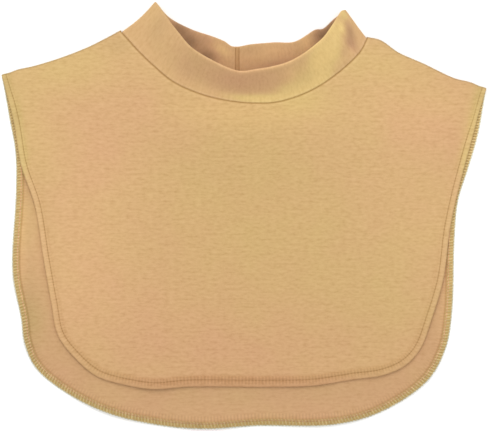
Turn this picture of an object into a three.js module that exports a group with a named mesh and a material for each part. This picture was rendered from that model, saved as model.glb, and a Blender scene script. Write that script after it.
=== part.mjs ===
// A turtleneck dickey of fine cotton jersey, laid flat on a table with its front up: a collar band
// folded double, a front bib with a turned hem, and a wider, longer back bib with an overlocked edge.
// Millimetres. +X runs to the right, +Y towards the collar, +Z up from the table.
import * as THREE from "three";

// Cloth and stitching
const CLOTH = 1; // one layer of jersey
const BAND_LAYERS = 2; // the band is folded double, with the fold at its top edge
const HEM_LAYERS = 2; // the front hem is turned under once
const OVERLOCK_THREAD = 0.6; // what the thread adds to the height of the back bib's cut edge
const OVERLOCK_WIDTH = 6.3;
const SIDE_HEM = 4.5; // width of the front hem at the shoulders
const BOTTOM_HEM = 6.8; // width of the front hem along the bottom
const SEAM_GAP = 0.3; // air left between two pieces that are sewn together

// The bibs, laid flat. Lengths run down from the level of the two neck points.
const SHOULDER_SPAN = 405.5; // from one shoulder tip to the other
const SHOULDER_DROP = 40.5;
const FRONT_LENGTH = 296;
const BACK_LENGTH = 330.5;
const EDGE_LIFT = 2.4; // height of the tallest ripple along a free edge
const RIPPLE_REACH = 26; // how far a ripple runs in from the edge

// The neck
const NECK_SPAN = 206; // between the points where band and shoulder seams meet
const FRONT_NECK_DROP = 57;
const BACK_NECK_DROP = 44.5;
const COLLAR_HEIGHT = 38;
const COLLAR_RISE = 21; // how far the front wall stands up from its seam to its top edge
const NECK_LIFT = 6; // how far the front neck seam stands above the side folds
const LIFT_REACH = 85; // how far down the front bib that lift is felt
const FOLD_AIR = 0.6; // air between the two walls at each side fold
const TABLE_AIR = 0.1; // the band's back wall hangs this far over the table
const LEFT_FOLD_HOLLOW = 1.6; // how far the left side fold bows in between its ends
const HOLLOW_FALL = 8; // how fast that hollow dies away along the wall, as a power
const WALL_CURL = 0.6; // how much of the wall's rise is kept for its upper half
const SAG_FALL = 6; // how fast the shoulder seams' sag dies away across a bib, as a power

// Heights that follow from the layers
const BAND_WALL = BAND_LAYERS * CLOTH;
const FRONT_REST = CLOTH + OVERLOCK_THREAD + SEAM_GAP; // underside of the front bib where it lies flat
const BACK_WALL_HEIGHT = BAND_WALL / 2 + TABLE_AIR; // middle of the band's back wall
const FOLD_RADIUS = (BAND_WALL + FOLD_AIR) / 2; // to the middle of the wall
const FRONT_WALL_HEIGHT = BACK_WALL_HEIGHT + 2 * FOLD_RADIUS;

// How finely the cloth is divided
const BIB_COLUMNS = 56;
const BAND_COLUMNS = 40;
const FOLD_STEPS = 6;
const CLOTH_ROWS = [0, 0.04, 0.12, 0.24, 0.4, 0.58, 0.78, 1];
const BAND_ROWS = [0, 0.18, 0.36, 0.54, 0.72, 0.88, 1];

// The front hem's edge from the left shoulder tip round to the right one.
// out: share of half the shoulder span. down: share of the way from the shoulder level to the hem.
// lift: share of the edge lift.
const FRONT_EDGE = [
  { out: -1.0, down: -0.022, lift: 0 },
  { out: -0.96, down: 0.12, lift: 0 },
  { out: -0.92, down: 0.27, lift: 0.1 },
  { out: -0.865, down: 0.4, lift: 0 },
  { out: -0.83, down: 0.57, lift: 0.1 },
  { out: -0.797, down: 0.72, lift: 0 },
  { out: -0.77, down: 0.825, lift: 0.1 },
  { out: -0.71, down: 0.892, lift: 0.3 },
  { out: -0.61, down: 0.961, lift: 0.1 },
  { out: -0.48, down: 0.992, lift: 0.3 },
  { out: -0.37, down: 1.004, lift: 0.6 },
  { out: -0.23, down: 0.996, lift: 0.2 },
  { out: 0.1, down: 0.994, lift: 0 },
  { out: 0.28, down: 0.988, lift: 0.2 },
  { out: 0.45, down: 0.969, lift: 0 },
  { out: 0.575, down: 0.955, lift: 0.3 },
  { out: 0.66, down: 0.925, lift: 0.1 },
  { out: 0.72, down: 0.872, lift: 0 },
  { out: 0.77, down: 0.765, lift: 0.1 },
  { out: 0.82, down: 0.64, lift: 0 },
  { out: 0.85, down: 0.48, lift: 0.1 },
  { out: 0.882, down: 0.36, lift: 0 },
  { out: 0.955, down: 0.17, lift: 0 },
  { out: 1.0, down: 0.022, lift: 0 },
];

// The back bib's overlocked edge, with the same columns.
const BACK_EDGE = [
  { out: -1.0, down: -0.02, lift: 0 },
  { out: -0.97, down: 0.1, lift: 0 },
  { out: -0.945, down: 0.2, lift: 0 },
  { out: -0.943, down: 0.32, lift: 0 },
  { out: -0.958, down: 0.5, lift: 0.2 },
  { out: -0.953, down: 0.57, lift: 0.7 },
  { out: -0.922, down: 0.68, lift: 0.1 },
  { out: -0.908, down: 0.75, lift: 0.8 },
  { out: -0.865, down: 0.82, lift: 0.3 },
  { out: -0.76, down: 0.885, lift: 0 },
  { out: -0.57, down: 0.953, lift: 0.7 },
  { out: -0.33, down: 0.992, lift: 0.1 },
  { out: -0.15, down: 1.0, lift: 0.6 },
  { out: 0.05, down: 0.991, lift: 0.1 },
  { out: 0.38, down: 0.987, lift: 0.5 },
  { out: 0.57, down: 0.95, lift: 0.1 },
  { out: 0.76, down: 0.86, lift: 0.3 },
  { out: 0.835, down: 0.765, lift: 0 },
  { out: 0.86, down: 0.66, lift: 0 },
  { out: 0.87, down: 0.45, lift: 0 },
  { out: 0.885, down: 0.34, lift: 0 },
  { out: 0.925, down: 0.25, lift: 0 },
  { out: 0.965, down: 0.155, lift: 0 },
  { out: 1.0, down: 0.02, lift: 0 },
];

// The shoulder seams' sag, from the neck point to the hem. Sags are shares of the seam's length.
const SHOULDERS = [
  { along: 0, left: 0, right: 0 },
  { along: 0.12, left: 0.018, right: -0.022 },
  { along: 0.27, left: 0.035, right: 0.014 },
  { along: 0.5, left: 0.04, right: 0.016 },
  { along: 0.78, left: 0.022, right: 0.025 },
  { along: 0.93, left: 0, right: 0 },
  { along: 1, left: 0, right: 0 },
];

// The band's front wall, from the left side fold to the right one.
// across and drop place its seam, as shares of half the neck span and of the front neck drop.
// leanX and leanY run from there to the top edge, and rise lifts it, as shares of the collar
// height and the collar rise. lift is the seam's own height, as a share of the neck lift.
const FRONT_WALL = [
  { across: -1.0, drop: -0.04, leanX: 0.74, leanY: 0.66, rise: 0, lift: 0 },
  { across: -0.855, drop: 0.25, leanX: 0.615, leanY: 0.715, rise: 0.36, lift: 0.32 },
  { across: -0.74, drop: 0.45, leanX: 0.52, leanY: 0.725, rise: 0.58, lift: 0.55 },
  { across: -0.57, drop: 0.7, leanX: 0.38, leanY: 0.715, rise: 0.8, lift: 0.78 },
  { across: -0.31, drop: 0.9, leanX: 0.21, leanY: 0.685, rise: 0.95, lift: 0.95 },
  { across: -0.06, drop: 0.98, leanX: 0.06, leanY: 0.64, rise: 1, lift: 1 },
  { across: 0.11, drop: 1.0, leanX: -0.025, leanY: 0.695, rise: 1, lift: 1 },
  { across: 0.25, drop: 0.985, leanX: -0.1, leanY: 0.72, rise: 0.97, lift: 0.97 },
  { across: 0.44, drop: 0.885, leanX: -0.215, leanY: 0.745, rise: 0.9, lift: 0.88 },
  { across: 0.625, drop: 0.71, leanX: -0.315, leanY: 0.735, rise: 0.76, lift: 0.74 },
  { across: 0.8, drop: 0.465, leanX: -0.42, leanY: 0.72, rise: 0.52, lift: 0.5 },
  { across: 0.93, drop: 0.245, leanX: -0.52, leanY: 0.69, rise: 0.26, lift: 0.24 },
  { across: 1.0, drop: 0.04, leanX: -0.54, leanY: 0.62, rise: 0, lift: 0 },
];

// The band's back wall. drop is a share of the back neck drop, and lift is always nought.
const BACK_WALL = [
  { across: -1.0, drop: -0.052, leanX: 0.74, leanY: 0.66, rise: 0, lift: 0 },
  { across: -0.85, drop: 0.27, leanX: 0.62, leanY: 0.72, rise: 0.03, lift: 0 },
  { across: -0.62, drop: 0.66, leanX: 0.49, leanY: 0.91, rise: 0.08, lift: 0 },
  { across: -0.4, drop: 0.87, leanX: 0.36, leanY: 0.985, rise: 0.12, lift: 0 },
  { across: -0.25, drop: 0.95, leanX: 0.24, leanY: 0.97, rise: 0.08, lift: 0 },
  { across: -0.17, drop: 0.98, leanX: 0.175, leanY: 0.875, rise: 0.04, lift: 0 },
  { across: -0.1, drop: 0.99, leanX: 0.13, leanY: 0.89, rise: 0.02, lift: 0 },
  { across: 0.05, drop: 1.0, leanX: 0.04, leanY: 0.965, rise: 0.05, lift: 0 },
  { across: 0.27, drop: 0.95, leanX: -0.09, leanY: 0.95, rise: 0.06, lift: 0 },
  { across: 0.5, drop: 0.8, leanX: -0.21, leanY: 0.805, rise: 0.03, lift: 0 },
  { across: 0.68, drop: 0.61, leanX: -0.3, leanY: 0.815, rise: 0.08, lift: 0 },
  { across: 0.8, drop: 0.42, leanX: -0.395, leanY: 0.64, rise: 0.05, lift: 0 },
  { across: 0.92, drop: 0.21, leanX: -0.49, leanY: 0.61, rise: 0.02, lift: 0 },
  { across: 1.0, drop: 0.052, leanX: -0.54, leanY: 0.62, rise: 0, lift: 0 },
];

// Sections through the bibs' finished edges, from the cloth out to the rim.
// inset: share of the hem's or overlock's width, in from the rim. under: height of the lower face,
// as a share of the finished edge's. over: how far the upper face stands between one layer of
// cloth, at 0, and the finished edge, at 1.
const HEM_SECTION = [
  { inset: 1.25, under: 0, over: 0 },
  { inset: 1, under: 0, over: -0.16 },
  { inset: 0.78, under: 0, over: 0.96 },
  { inset: 0.22, under: 0, over: 1 },
  { inset: 0, under: 0.3, over: 0.44 },
];
const OVERLOCK_SECTION = [
  { inset: 1.25, under: 0, over: 0 },
  { inset: 1, under: 0, over: 0.75 },
  { inset: 0.75, under: 0, over: 1 },
  { inset: 0.2, under: 0, over: 1 },
  { inset: 0, under: 0.2, over: 0.35 },
];

const lerp = THREE.MathUtils.lerp;
const smoothCurve = (points) => new THREE.CatmullRomCurve3(points, false, "centripetal");
const flat = (point) => new THREE.Vector3(point.x, point.y, 0);

// Half a cosine wave: 1 at nought, 0 at reach and beyond.
function fadeOut(distance, reach) {
  return (1 + Math.cos(Math.PI * Math.min(1, distance / reach))) / 2;
}

// The edge of a bib, with the ripples' lift as its height.
function edgeCurve(rows, length) {
  return smoothCurve(
    rows.map(
      (row) =>
        new THREE.Vector3(
          (row.out * SHOULDER_SPAN) / 2,
          -lerp(SHOULDER_DROP, length, row.down),
          row.lift * EDGE_LIFT,
        ),
    ),
  );
}

// One wall of the band: its seam and the lean from the seam to the top edge, row by row.
function makeWall(rows, neckDrop, middle) {
  return {
    seam: smoothCurve(
      rows.map(
        (row) =>
          new THREE.Vector3(
            (row.across * NECK_SPAN) / 2,
            -row.drop * neckDrop,
            middle + row.lift * NECK_LIFT,
          ),
      ),
    ),
    lean: smoothCurve(
      rows.map(
        (row) =>
          new THREE.Vector3(
            row.leanX * COLLAR_HEIGHT,
            row.leanY * COLLAR_HEIGHT,
            row.rise * COLLAR_RISE,
          ),
      ),
    ),
  };
}

const frontWall = makeWall(FRONT_WALL, FRONT_NECK_DROP, FRONT_WALL_HEIGHT);
const backWall = makeWall(BACK_WALL, BACK_NECK_DROP, BACK_WALL_HEIGHT);

// The wall leaves its seam level and steepens towards the top edge.
const steepen = (up) => up * up * (1 + WALL_CURL - WALL_CURL * up);

// A point on the middle of a wall: along from the left fold to the right, up from seam to top edge.
function wallPoint(wall, along, up) {
  const t = wall.seam.getUtoTmapping(along, 0);
  const point = wall.seam.getPoint(t);
  const lean = wall.lean.getPoint(t);
  const nearLeft = (1 - along) ** HOLLOW_FALL;
  const hollow = LEFT_FOLD_HOLLOW * Math.sin(Math.PI * up) * nearLeft * Math.SQRT1_2;
  point.x += lean.x * up + hollow;
  point.y += lean.y * up - hollow;
  point.z += lean.z * steepen(up);
  return point;
}

// The middle of the band at one height: front wall, right fold, back wall, left fold.
function bandLoop(up) {
  const inset = FOLD_RADIUS + BAND_WALL / 2;
  const trimOf = (wall) => {
    const across = wallPoint(wall, 0, up).distanceTo(wallPoint(wall, 0.5, up));
    return inset / (2 * across);
  };
  const span = (wall, share) => {
    const trim = trimOf(wall);
    return wallPoint(wall, lerp(trim, 1 - trim, share), up);
  };
  const fold = (from, to, end) => {
    const tip = wallPoint(frontWall, end, up);
    const middle = from.clone().add(to).multiplyScalar(0.5);
    const half = from.clone().sub(middle);
    const out = flat(tip).sub(flat(middle));
    out.setLength(Math.max(out.length() - BAND_WALL / 2, FOLD_RADIUS));
    const steps = [];
    for (let i = 1; i < FOLD_STEPS; i++) {
      const angle = (Math.PI * i) / FOLD_STEPS;
      steps.push(
        middle
          .clone()
          .addScaledVector(half, Math.cos(angle))
          .addScaledVector(out, Math.sin(angle)),
      );
    }
    return steps;
  };
  const front = [];
  const back = [];
  for (let i = 0; i <= BAND_COLUMNS; i++) {
    front.push(span(frontWall, i / BAND_COLUMNS));
    back.push(span(backWall, 1 - i / BAND_COLUMNS));
  }
  const rightFold = fold(front.at(-1), back[0], 1);
  const leftFold = fold(back.at(-1), front[0], 0);
  return [...front, ...rightFold, ...back, ...leftFold];
}

// A closed solid from a grid of columns of points: each column runs over the piece's whole section
// and back, so it is a closed line itself. Open grids get their two end columns filled in.
function solidOf(columns, closed) {
  const count = columns.length;
  const size = columns[0].length;
  const positions = columns.flat().flatMap((point) => [point.x, point.y, point.z]);
  const index = [];
  for (let i = 0; i < (closed ? count : count - 1); i++) {
    for (let j = 0; j < size; j++) {
      const a = i * size + j;
      const b = i * size + ((j + 1) % size);
      const c = ((i + 1) % count) * size + ((j + 1) % size);
      const d = ((i + 1) % count) * size + j;
      index.push(a, b, c, a, c, d);
    }
  }
  if (!closed) {
    const last = (count - 1) * size;
    for (let j = 0; j < size / 2 - 1; j++) {
      const [a, b, c, d] = [j, j + 1, size - 2 - j, size - 1 - j];
      index.push(a, c, b, a, d, c);
      index.push(last + a, last + b, last + c, last + a, last + c, last + d);
    }
  }
  const geometry = new THREE.BufferGeometry();
  geometry.setAttribute("position", new THREE.Float32BufferAttribute(positions, 3));
  geometry.setIndex(index);
  geometry.computeVertexNormals();
  return geometry;
}

// The collar band: both faces of the wall, a rounded top edge and a plain seam edge.
function collarBand() {
  const start = SEAM_GAP / (COLLAR_HEIGHT * Math.min(...FRONT_WALL.map((row) => row.leanY)));
  const loops = BAND_ROWS.map((share) => bandLoop(lerp(start, 1, share)));
  const around = loops[0].length;
  const top = loops.length - 1;
  const columns = [];
  for (let i = 0; i < around; i++) {
    const outer = [];
    const inner = [];
    for (let j = 0; j <= top; j++) {
      const along = loops[j][(i + 1) % around].clone().sub(loops[j][(i + around - 1) % around]);
      const up = loops[Math.min(j + 1, top)][i].clone().sub(loops[Math.max(j - 1, 0)][i]);
      const normal = along.cross(up).setLength(BAND_WALL / 2);
      outer.push(loops[j][i].clone().add(normal));
      inner.push(loops[j][i].clone().sub(normal));
    }
    const crown = loops[top][i].clone().sub(loops[top - 1][i]).setLength(BAND_WALL / 2);
    columns.push([...outer.reverse(), ...inner, loops[top][i].clone().add(crown)]);
  }
  return solidOf(columns, true);
}

// How far a shoulder seam sags, one share of its length for each side.
const shoulderSag = smoothCurve(
  SHOULDERS.map((row) => new THREE.Vector3(row.along, row.left, row.right)),
);
function sagAt(share) {
  const place = shoulderSag.getPoint(share);
  return { left: place.y, right: place.z };
}

// A bib: a fan of columns that run from the neck seam out to its finished edge.
function bib({ wall, edge, widthAt, section, edgeHeight, restAt }) {
  const columns = [];
  for (let i = 0; i <= BIB_COLUMNS; i++) {
    const along = i / BIB_COLUMNS;
    const neck = wall.seam.getPointAt(along);
    const rim = edge.getPointAt(along);
    const way = edge.getTangentAt(along);
    const inward = new THREE.Vector3(-way.y, way.x, 0).normalize();
    const width = widthAt(along);
    const joint = flat(rim).addScaledVector(inward, section[0].inset * width);
    const reach = joint.distanceTo(flat(neck));
    const under = [];
    const over = [];
    const place = (point, bottom, top) => {
      under.push(new THREE.Vector3(point.x, point.y, bottom));
      over.push(new THREE.Vector3(point.x, point.y, top));
    };
    for (const row of CLOTH_ROWS.slice(0, -1)) {
      const point = flat(neck).lerp(joint, row);
      const sag = sagAt(row);
      const share = sag.left * (1 - along) ** SAG_FALL + sag.right * along ** SAG_FALL;
      point.y -= share * reach;
      const bottom = restAt(neck, rim, row * reach, (1 - row) * reach + section[0].inset * width);
      place(point, bottom, bottom + CLOTH);
    }
    for (const step of section) {
      const point = flat(rim).addScaledVector(inward, step.inset * width);
      const rest = restAt(neck, rim, reach, step.inset * width);
      place(point, rest + step.under * edgeHeight, rest + lerp(CLOTH, edgeHeight, step.over));
    }
    columns.push([...over, ...under.reverse()]);
  }
  return solidOf(columns, false);
}

// The front bib rests on the back one and climbs to the raised neck seam.
function frontBib() {
  return bib({
    wall: frontWall,
    edge: edgeCurve(FRONT_EDGE, FRONT_LENGTH),
    widthAt: (along) => lerp(SIDE_HEM, BOTTOM_HEM, Math.sin(Math.PI * along) ** 2),
    section: HEM_SECTION,
    edgeHeight: HEM_LAYERS * CLOTH,
    restAt: (neck, rim, fromNeck, fromRim) =>
      FRONT_REST +
      (neck.z - CLOTH / 2 - FRONT_REST) * fadeOut(fromNeck, LIFT_REACH) +
      rim.z * fadeOut(fromRim, RIPPLE_REACH),
  });
}

// The back bib lies on the table, apart from the ripples along its free edge.
function backBib() {
  return bib({
    wall: backWall,
    edge: edgeCurve(BACK_EDGE, BACK_LENGTH),
    widthAt: () => OVERLOCK_WIDTH,
    section: OVERLOCK_SECTION,
    edgeHeight: CLOTH + OVERLOCK_THREAD,
    restAt: (neck, rim, fromNeck, fromRim) => rim.z * fadeOut(fromRim, RIPPLE_REACH),
  });
}

function clothMesh(name, geometry, colour) {
  const material = new THREE.MeshStandardMaterial({ color: colour, roughness: 0.95, metalness: 0 });
  const mesh = new THREE.Mesh(geometry, material);
  mesh.name = name;
  return mesh;
}

const dickey = new THREE.Group();
dickey.add(
  clothMesh("collar_band", collarBand(), "#d9b27c"),
  clothMesh("front_bib", frontBib(), "#dbb27d"),
  clothMesh("back_bib", backBib(), "#cda274"),
);

// The origin is the middle of the object's footprint, on the table.
const bounds = new THREE.Box3().setFromObject(dickey);
const centre = bounds.getCenter(new THREE.Vector3());
dickey.position.set(-centre.x, -centre.y, -bounds.min.z);

export default dickey;
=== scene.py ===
# A turtleneck dickey of fine cotton jersey, laid flat with its front up, dressed over its solids.
import math
from collections import namedtuple

import bpy
import numpy as np
from bpy.props import FloatProperty, FloatVectorProperty, IntProperty, PointerProperty
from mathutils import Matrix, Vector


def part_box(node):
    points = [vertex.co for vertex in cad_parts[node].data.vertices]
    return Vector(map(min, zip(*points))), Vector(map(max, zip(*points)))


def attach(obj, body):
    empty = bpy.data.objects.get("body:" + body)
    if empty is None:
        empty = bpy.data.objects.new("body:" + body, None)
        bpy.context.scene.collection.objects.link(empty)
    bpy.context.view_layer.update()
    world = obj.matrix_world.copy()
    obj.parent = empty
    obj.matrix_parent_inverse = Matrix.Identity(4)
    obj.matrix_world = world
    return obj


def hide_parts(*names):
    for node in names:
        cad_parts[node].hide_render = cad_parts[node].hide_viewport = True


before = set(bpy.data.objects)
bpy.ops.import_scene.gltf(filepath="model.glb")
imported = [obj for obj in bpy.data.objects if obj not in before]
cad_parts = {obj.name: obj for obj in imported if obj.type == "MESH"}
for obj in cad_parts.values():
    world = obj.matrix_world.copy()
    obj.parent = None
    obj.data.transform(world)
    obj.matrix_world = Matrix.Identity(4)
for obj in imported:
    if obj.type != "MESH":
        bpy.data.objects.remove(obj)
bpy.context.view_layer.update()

bl_info = {
    "name": "Turtleneck Dickey",
    "version": (1, 0, 0),
    "blender": (4, 5, 0),
    "location": "3D View > Sidebar > Dickey",
    "description": "Models a jersey dickey: collar band, two bibs and their stitching",
    "category": "Object",
}

MM = 0.001

# The bibs, laid flat. Lengths run down from the level of the two neck points.
SHOULDER_SPAN = 405.5 * MM
SHOULDER_DROP = 40.5 * MM
FRONT_LENGTH = 296 * MM
BACK_LENGTH = 330.5 * MM
EDGE_LIFT = 2.4 * MM
RIPPLE_REACH = 26 * MM
NECK_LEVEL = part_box("back_bib")[0][1] + BACK_LENGTH

# The neck
NECK_SPAN = 206 * MM
FRONT_NECK_DROP = 57 * MM
BACK_NECK_DROP = 44.5 * MM
COLLAR_HEIGHT = 38 * MM
COLLAR_RISE = 21 * MM
NECK_LIFT = 6 * MM
LIFT_REACH = 85 * MM
FOLD_RADIUS = 1.3 * MM
BAND_WALL = 2 * MM
SEAM_GAP = 0.3 * MM
LEFT_FOLD_HOLLOW = 1.6 * MM
HOLLOW_FALL = 8
SAG_FALL = 6
BACK_SEAM_X = -5.7 * MM

# Heights: the underside of the front bib, and the middle of the collar's walls at their seams
FRONT_REST = 1.9 * MM
BACK_REST = 0.02 * MM
BACK_WALL_HEIGHT = 1.1 * MM
FRONT_WALL_HEIGHT = BACK_WALL_HEIGHT + 2 * FOLD_RADIUS

# Outlines of the two bibs from the left shoulder tip round to the right one. out: share of half
# the shoulder span. down: share of the way from shoulder level to the hem. lift: share of the
# edge lift.
Edge = namedtuple("Edge", "out down lift")
FRONT_EDGE = [Edge(*row) for row in (
    (-1.0, -0.022, 0), (-0.953, 0.12, 0), (-0.92, 0.27, 0.1), (-0.865, 0.4, 0), (-0.83, 0.57, 0.1),
    (-0.797, 0.72, 0), (-0.77, 0.825, 0.1), (-0.71, 0.892, 0.3), (-0.61, 0.961, 0.1),
    (-0.48, 0.992, 0.3), (-0.37, 1.004, 0.6), (-0.23, 0.996, 0.2), (0.1, 0.997, 0),
    (0.28, 0.993, 0.2), (0.45, 0.973, 0), (0.575, 0.958, 0.3), (0.665, 0.927, 0.1),
    (0.728, 0.873, 0), (0.779, 0.765, 0.1), (0.824, 0.64, 0), (0.85, 0.48, 0.1), (0.882, 0.36, 0),
    (0.946, 0.17, 0), (0.97, 0.098, 0), (1.0, 0.022, 0),
)]
BACK_EDGE = [Edge(*row) for row in (
    (-1.0, -0.02, 0), (-0.97, 0.1, 0), (-0.945, 0.2, 0), (-0.943, 0.32, 0), (-0.958, 0.5, 0.2),
    (-0.953, 0.57, 0.7), (-0.922, 0.68, 0.1), (-0.908, 0.75, 0.8), (-0.865, 0.82, 0.3),
    (-0.76, 0.885, 0), (-0.57, 0.953, 0.7), (-0.33, 0.992, 0.1), (-0.15, 1.0, 0.6),
    (0.05, 0.991, 0.1), (0.38, 0.987, 0.5), (0.57, 0.95, 0.1), (0.76, 0.86, 0.3), (0.835, 0.765, 0),
    (0.86, 0.66, 0), (0.87, 0.45, 0), (0.885, 0.34, 0), (0.925, 0.25, 0), (0.965, 0.155, 0),
    (1.0, 0.02, 0),
)]

# How far each shoulder seam sags between the neck point and the tip, as shares of its length.
Sag = namedtuple("Sag", "along left right")
SHOULDERS = [Sag(*row) for row in (
    (0, 0, 0), (0.12, 0.018, -0.022), (0.27, 0.035, 0.014), (0.5, 0.04, 0.016),
    (0.78, 0.022, 0.025), (0.93, 0, 0), (1, 0, 0),
)]

# The collar's walls from the left side fold to the right one. across and drop place the neck seam,
# as shares of half the neck span and of the neck's drop. lean_x, lean_y and rise run from there
# to the top edge, as shares of the collar's height and rise. lift raises the seam.
Wall = namedtuple("Wall", "across drop lean_x lean_y rise lift")
FRONT_WALL = [Wall(*row) for row in (
    (-1.0, -0.04, 0.74, 0.66, 0, 0), (-0.855, 0.25, 0.615, 0.715, 0.36, 0.32),
    (-0.74, 0.45, 0.52, 0.725, 0.58, 0.55), (-0.57, 0.7, 0.38, 0.715, 0.8, 0.78),
    (-0.31, 0.9, 0.21, 0.685, 0.95, 0.95), (-0.06, 0.99, 0.06, 0.62, 1, 1),
    (0.11, 1.01, -0.025, 0.69, 1, 1), (0.25, 0.998, -0.1, 0.72, 0.97, 0.97),
    (0.44, 0.905, -0.215, 0.7, 0.9, 0.88), (0.625, 0.742, -0.315, 0.69, 0.76, 0.74),
    (0.8, 0.51, -0.42, 0.69, 0.52, 0.5), (0.93, 0.288, -0.52, 0.685, 0.26, 0.24),
    (0.97, 0.18, -0.485, 0.75, 0.12, 0.1), (1.0, 0.06, -0.46, 0.61, 0, 0),
)]
BACK_WALL = [Wall(*row) for row in (
    (-1.0, -0.052, 0.74, 0.66, 0, 0), (-0.85, 0.27, 0.62, 0.7, 0.03, 0),
    (-0.62, 0.66, 0.49, 0.88, 0.08, 0), (-0.4, 0.87, 0.36, 0.965, 0.12, 0),
    (-0.25, 0.95, 0.24, 0.945, 0.08, 0), (-0.17, 0.98, 0.175, 0.875, 0.04, 0),
    (-0.1, 0.99, 0.13, 0.875, 0.02, 0), (0.05, 1.0, 0.04, 0.94, 0.05, 0),
    (0.27, 0.95, -0.09, 0.92, 0.06, 0), (0.5, 0.8, -0.21, 0.77, 0.03, 0),
    (0.68, 0.61, -0.3, 0.785, 0.08, 0), (0.8, 0.42, -0.395, 0.615, 0.05, 0),
    (0.92, 0.21, -0.49, 0.58, 0.02, 0), (1.0, 0.072, -0.46, 0.61, 0, 0),
)]

# Soft creases and dents of a bib, each along a short line. Places and sizes in millimetres from
# the middle of the footprint; a negative height is a dent.
Crease = namedtuple("Crease", "x0 y0 x1 y1 half_width height")
FRONT_CREASES = [Crease(*row) for row in (
    (68, 84, 73, -100, 3.2, 0.35), (-60, 60, -20, -20, 26, -0.35), (-150, 70, -120, 10, 22, 0.3),
    (120, 60, 140, -20, 20, 0.3), (-90, -90, -20, -110, 24, 0.3), (20, 40, 30, -60, 20, 0.25),
)]
BACK_CREASES = [Crease(*row) for row in (
    (80, -134, 82, -172, 2.6, 0.4), (-178, -64, -176, -96, 7, -0.4), (-190, -60, -186, -84, 4, 0.7),
    (-100, -150, -60, -160, 10, 0.3),
)]

# Bumps and hollows of the collar's front wall. along and up are shares of the wall, and the
# height is in millimetres.
Dent = namedtuple("Dent", "along up reach_along reach_up height")
COLLAR_DENTS = [Dent(*row) for row in (
    (0.87, 0.55, 0.05, 0.55, 3.2), (0.955, 0.45, 0.02, 0.4, -0.5), (0.3, 0.6, 0.08, 0.4, -0.6),
    (0.62, 0.75, 0.05, 0.25, -0.4), (0.12, 0.5, 0.05, 0.5, 0.8),
)]

# Zones where the dye looks more golden or rosier (gold), and zones of painted light and shade
# (light):
# painted highlights on ridges and rims that face the lamps, painted shadow in dents and inside the
# collar, and painted light that thins the shadow beside the front's rim. On a bib x and y are
# millimetres. On the collar x is 0 to 1 along the front wall and 1 to 2 back along the back wall,
# and y is 0 to 1 up the outside and 1 to 2 down the inside.
Zone = namedtuple("Zone", "x y reach_x reach_y gold light")
FRONT_ZONES = [Zone(*row) for row in (
    (10, 20, 80, 90, 0.26, 0), (30, 80, 80, 35, 0, 0.03), (110, -70, 50, 50, 0.2, -0.01),
    (-130, 40, 50, 70, -0.15, 0.035), (0, -115, 150, 30, -0.35, 0), (-80, -75, 45, 30, -0.2, 0.01),
    (150, 90, 60, 30, 0, 0.06), (150, 0, 40, 60, 0, 0.03), (-150, 125, 50, 24, 0.4, 0.03),
    (-180, 66, 22, 40, 0.3, 0.03), (-105, 82, 40, 30, -0.3, 0), (110, 127, 40, 22, 0.3, 0.04),
    (160, 67, 35, 25, -0.3, 0), (0, 88, 60, 16, 0.1, 0.09), (48, 97, 30, 14, 0.35, 0.03),
    (-140, -50, 40, 60, -0.1, 0.06), (-104, 143, 12, 8, 0.1, -0.08), (-201, 105, 5, 14, 0.9, -0.16),
    (-192, 78, 5, 16, 0.9, -0.1), (-187, 48, 5, 18, 0.8, -0.04), (199, 97, 6, 14, 0.9, -0.09),
    (193, 72, 5, 16, 0.9, 0.02), (186, 47, 5, 18, 0.8, 0.04), (0, -141, 150, 6, -0.4, 0),
)]
BACK_ZONES = [Zone(*row) for row in (
    (10, -146, 110, 12, 0.1, -0.04), (-184, -4, 16, 40, 0.4, 0.08), (-180, -86, 14, 24, 0.5, -0.09),
    (-160, -70, 12, 25, 0, 0.04), (-187, -8, 4, 60, 0, 0.16), (-172, -20, 7, 40, 0, 0.06),
    (172, -50, 9, 65, 0.1, 0.2),
)]
COLLAR_ZONES = [Zone(*row) for row in (
    (0.59, 0.1, 0.14, 0.16, 0.8, 0.18), (0.52, 0.2, 0.08, 0.12, 0.4, 0.1),
    (0.65, 0.36, 0.045, 0.14, 0.4, 0.09), (0.68, 0.7, 0.03, 0.2, -0.1, 0.07),
    (0.92, 0.88, 0.035, 0.35, 0.6, 0.19), (0.956, 0.78, 0.014, 0.17, 0.5, 0.26),
    (0.87, 0.6, 0.04, 0.3, 0.5, 0.13), (0.8, 0.6, 0.045, 0.35, 0.7, 0.22),
    (0.84, 0.95, 0.05, 0.3, 0.3, 0.12), (0.855, 0.48, 0.03, 0.15, 0.2, 0.05),
    (0.79, 0.15, 0.06, 0.3, 0.6, 0.07), (0.71, 0.5, 0.05, 0.4, 0.4, 0.1),
    (0.47, 0.7, 0.16, 0.3, -0.3, -0.04), (0.948, 0.33, 0.018, 0.25, -0.5, -0.28),
    (0.968, 0.46, 0.012, 0.16, 0, -0.09), (0.908, 0.33, 0.014, 0.12, -0.2, -0.1),
    (0.938, 0.2, 0.014, 0.12, 0, 0.12), (0.97, 0.62, 0.014, 0.22, -0.3, -0.24),
    (0.985, 0.92, 0.012, 0.12, 1.0, 0.14), (0.27, 0.5, 0.06, 0.5, -0.2, -0.04),
    (0.08, 0.75, 0.04, 0.35, 0, -0.1), (0.62, 1.0, 0.3, 0.04, 0, 0.16),
    (1.5, 1.5, 0.5, 0.6, -0.2, 0.02), (1.61, 1.18, 0.05, 0.12, 0.3, 0.18),
    (1.7, 1.08, 0.03, 0.1, -0.5, -0.1), (1.48, 1.1, 0.05, 0.12, 0, -0.07),
    (1.215, 1.15, 0.025, 0.2, 0, 0.14), (1.36, 1.15, 0.08, 0.15, 0, 0.08),
    (1.84, 1.1, 0.06, 0.22, -0.9, -0.4), (1.76, 1.26, 0.05, 0.2, -0.6, -0.42),
    (1.665, 1.45, 0.045, 0.22, -0.8, -0.46), (1.36, 1.55, 0.12, 0.15, -0.3, -0.14),
    (1.13, 1.22, 0.05, 0.3, -0.8, -0.5), (1.06, 1.05, 0.045, 0.14, -0.6, -0.36),
)]

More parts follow.
